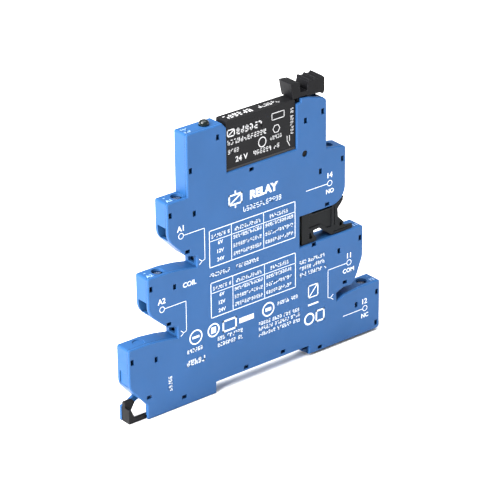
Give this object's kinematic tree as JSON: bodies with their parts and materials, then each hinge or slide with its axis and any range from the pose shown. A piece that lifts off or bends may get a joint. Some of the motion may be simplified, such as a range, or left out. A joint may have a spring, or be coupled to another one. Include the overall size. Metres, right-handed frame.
{
  "type": "plug in relay",
  "caption": "Slim plug-in interface relay: stepped screw-terminal rail socket with relay, retaining lever, rail latch, fuse bay plug and indicator lamp.",
  "frame": {"origin": "centre line of the 35 mm rail on the seating plane, at mid thickness of the module", "axes": "+X across the rail towards the fixed hook, +Y along the rail (module thickness), +Z away from the rail"},
  "size_m": [0.105, 0.0062, 0.0998],
  "materials": {
    "housing_blue": "fine moulded texture",
    "board_green": "solder resist",
    "component_dark": "epoxy",
    "component_blue": "dipped epoxy",
    "component_tan": "satin",
    "lens_green": "tinted clear",
    "led_clear": "clear epoxy",
    "lever_black": "satin moulded",
    "latch_black": "satin moulded",
    "plug_black": "satin moulded",
    "relay_black": "satin moulded",
    "relay_base_black": "matte moulded",
    "bobbin_ivory": "moulded",
    "copper_wire": "enamelled wire",
    "soft_iron": "nickel plated",
    "spring_steel": "bright",
    "card_white": "moulded",
    "tinned_copper": "tin plated",
    "spring_bronze": "rolled strip",
    "contact_silver": "silver alloy",
    "brass": "stamped strip",
    "screw_steel": "zinc plated",
    "cage_steel": "zinc plated"
  },
  "bodies": {
    "socket": {"bus_bar_11": "tinned_copper", "bus_bar_12": "tinned_copper", "bus_bar_14": "tinned_copper", "bus_bar_a1": "tinned_copper", "bus_bar_a2": "tinned_copper", "circuit_board": "board_green", "dropper_resistor": "component_dark", "fuse_clip_lower": "tinned_copper", "fuse_clip_upper": "tinned_copper", "indicator_led": "led_clear", "jumper_forks": "tinned_copper", "lamp_lens": "lens_green", "rear_shell": "housing_blue", "rectifier_diodes": "component_dark", "side_cover": "housing_blue", "smoothing_capacitor": "component_tan", "socket_clip_11": "tinned_copper", "socket_clip_12": "tinned_copper", "socket_clip_14": "tinned_copper", "socket_clip_a1": "tinned_copper", "socket_clip_a2": "tinned_copper", "suppressor": "component_blue", "terminal_blank": "housing_blue"},
    "relay": {"relay_case": "relay_black", "relay_base": "relay_base_black", "coil_bobbin": "bobbin_ivory", "coil_winding": "copper_wire", "iron_core": "soft_iron", "yoke": "soft_iron", "common_terminal": "tinned_copper", "fixed_contact_closed": "tinned_copper", "fixed_contact_open": "tinned_copper", "coil_pin_a1": "tinned_copper", "coil_pin_a2": "tinned_copper"},
    "armature": {"armature": "soft_iron", "armature_spring": "spring_steel"},
    "actuator_card": {"actuator_card": "card_white"},
    "moving_contact": {"moving_contact_spring": "spring_bronze", "moving_contact_rivet": "contact_silver", "moving_contact_rivet_open_side": "contact_silver"},
    "lever": {"retainer_lever": "lever_black"},
    "latch": {"rail_latch": "latch_black"},
    "bay_plug": {"fuse_bay_plug": "plug_black", "bridging_link": "brass"},
    "screw_a1": {"terminal_screw_a1": "screw_steel"},
    "cage_a1": {"clamp_cage_a1": "cage_steel"},
    "screw_a2": {"terminal_screw_a2": "screw_steel"},
    "cage_a2": {"clamp_cage_a2": "cage_steel"},
    "screw_14": {"terminal_screw_14": "screw_steel"},
    "cage_14": {"clamp_cage_14": "cage_steel"},
    "screw_11": {"terminal_screw_11": "screw_steel"},
    "cage_11": {"clamp_cage_11": "cage_steel"},
    "screw_12": {"terminal_screw_12": "screw_steel"},
    "cage_12": {"clamp_cage_12": "cage_steel"}
  },
  "joints": [
    {"name": "lever_tilt", "type": "hinge", "parent": "socket", "child": "lever", "pos_m": [0.0161, 0, 0.0702], "axis": [0, 1, 0], "range_deg": [0, 18]},
    {"name": "relay_lift", "type": "slide", "parent": "socket", "child": "relay", "axis": [0, 0, 1], "range_m": [0, 0.00208]},
    {"name": "latch_slide", "type": "slide", "parent": "socket", "child": "latch", "axis": [1, 0, 0], "range_m": [0, 0.005]},
    {"name": "bay_plug_pull", "type": "slide", "parent": "socket", "child": "bay_plug", "axis": [1, 0, 0], "range_m": [0, 0.022]},
    {"name": "armature_swing", "type": "hinge", "parent": "relay", "child": "armature", "pos_m": [-0.01265, 0, 0.0762], "axis": [0, 1, 0], "range_deg": [0, 3.5], "stiffness_Nm_per_rad": 0.002},
    {"name": "card_push", "type": "slide", "parent": "relay", "child": "actuator_card", "axis": [1, 0, 0], "range_m": [0, 0.00056]},
    {"name": "contact_bend", "type": "hinge", "parent": "relay", "child": "moving_contact", "pos_m": [0.00435, 0, 0.0753], "axis": [0, 1, 0], "range_deg": [0, 3.4]},
    {"name": "screw_turn_a1", "type": "hinge", "parent": "socket", "child": "screw_a1", "pos_m": [-0.0336, 0, 0.0608], "axis": [0, 0, -1], "range_deg": [0, 1729]},
    {"name": "cage_rise_a1", "type": "slide", "parent": "socket", "child": "cage_a1", "axis": [0, 0, 1], "range_m": [0, 0.0024]},
    {"name": "screw_turn_a2", "type": "hinge", "parent": "socket", "child": "screw_a2", "pos_m": [-0.0418, 0, 0.0374], "axis": [0, 0, -1], "range_deg": [0, 1729]},
    {"name": "cage_rise_a2", "type": "slide", "parent": "socket", "child": "cage_a2", "axis": [0, 0, 1], "range_m": [0, 0.0024]},
    {"name": "screw_turn_14", "type": "hinge", "parent": "socket", "child": "screw_14", "pos_m": [0.0279, 0, 0.0602], "axis": [0, 0, -1], "range_deg": [0, 1729]},
    {"name": "cage_rise_14", "type": "slide", "parent": "socket", "child": "cage_14", "axis": [0, 0, 1], "range_m": [0, 0.0024]},
    {"name": "screw_turn_11", "type": "hinge", "parent": "socket", "child": "screw_11", "pos_m": [0.0356, 0, 0.0294], "axis": [0, 0, -1], "range_deg": [0, 1729]},
    {"name": "cage_rise_11", "type": "slide", "parent": "socket", "child": "cage_11", "axis": [0, 0, 1], "range_m": [0, 0.0024]},
    {"name": "screw_turn_12", "type": "hinge", "parent": "socket", "child": "screw_12", "pos_m": [0.0433, 0, 0.0069], "axis": [0, 0, -1], "range_deg": [0, 1729]},
    {"name": "cage_rise_12", "type": "slide", "parent": "socket", "child": "cage_12", "axis": [0, 0, 1], "range_m": [0, 0.0024]}
  ],
  "couplings": [
    {"joint": "lever_tilt", "follows": "relay_lift", "rad_per_m": 150},
    {"joint": "armature_swing", "follows": "card_push", "rad_per_m": 108},
    {"joint": "contact_bend", "follows": "card_push", "rad_per_m": 101.5},
    {"joint": "screw_turn_a1", "follows": "cage_rise_a1", "rad_per_m": 12566},
    {"joint": "screw_turn_a2", "follows": "cage_rise_a2", "rad_per_m": 12566},
    {"joint": "screw_turn_14", "follows": "cage_rise_14", "rad_per_m": 12566},
    {"joint": "screw_turn_11", "follows": "cage_rise_11", "rad_per_m": 12566},
    {"joint": "screw_turn_12", "follows": "cage_rise_12", "rad_per_m": 12566}
  ]
}
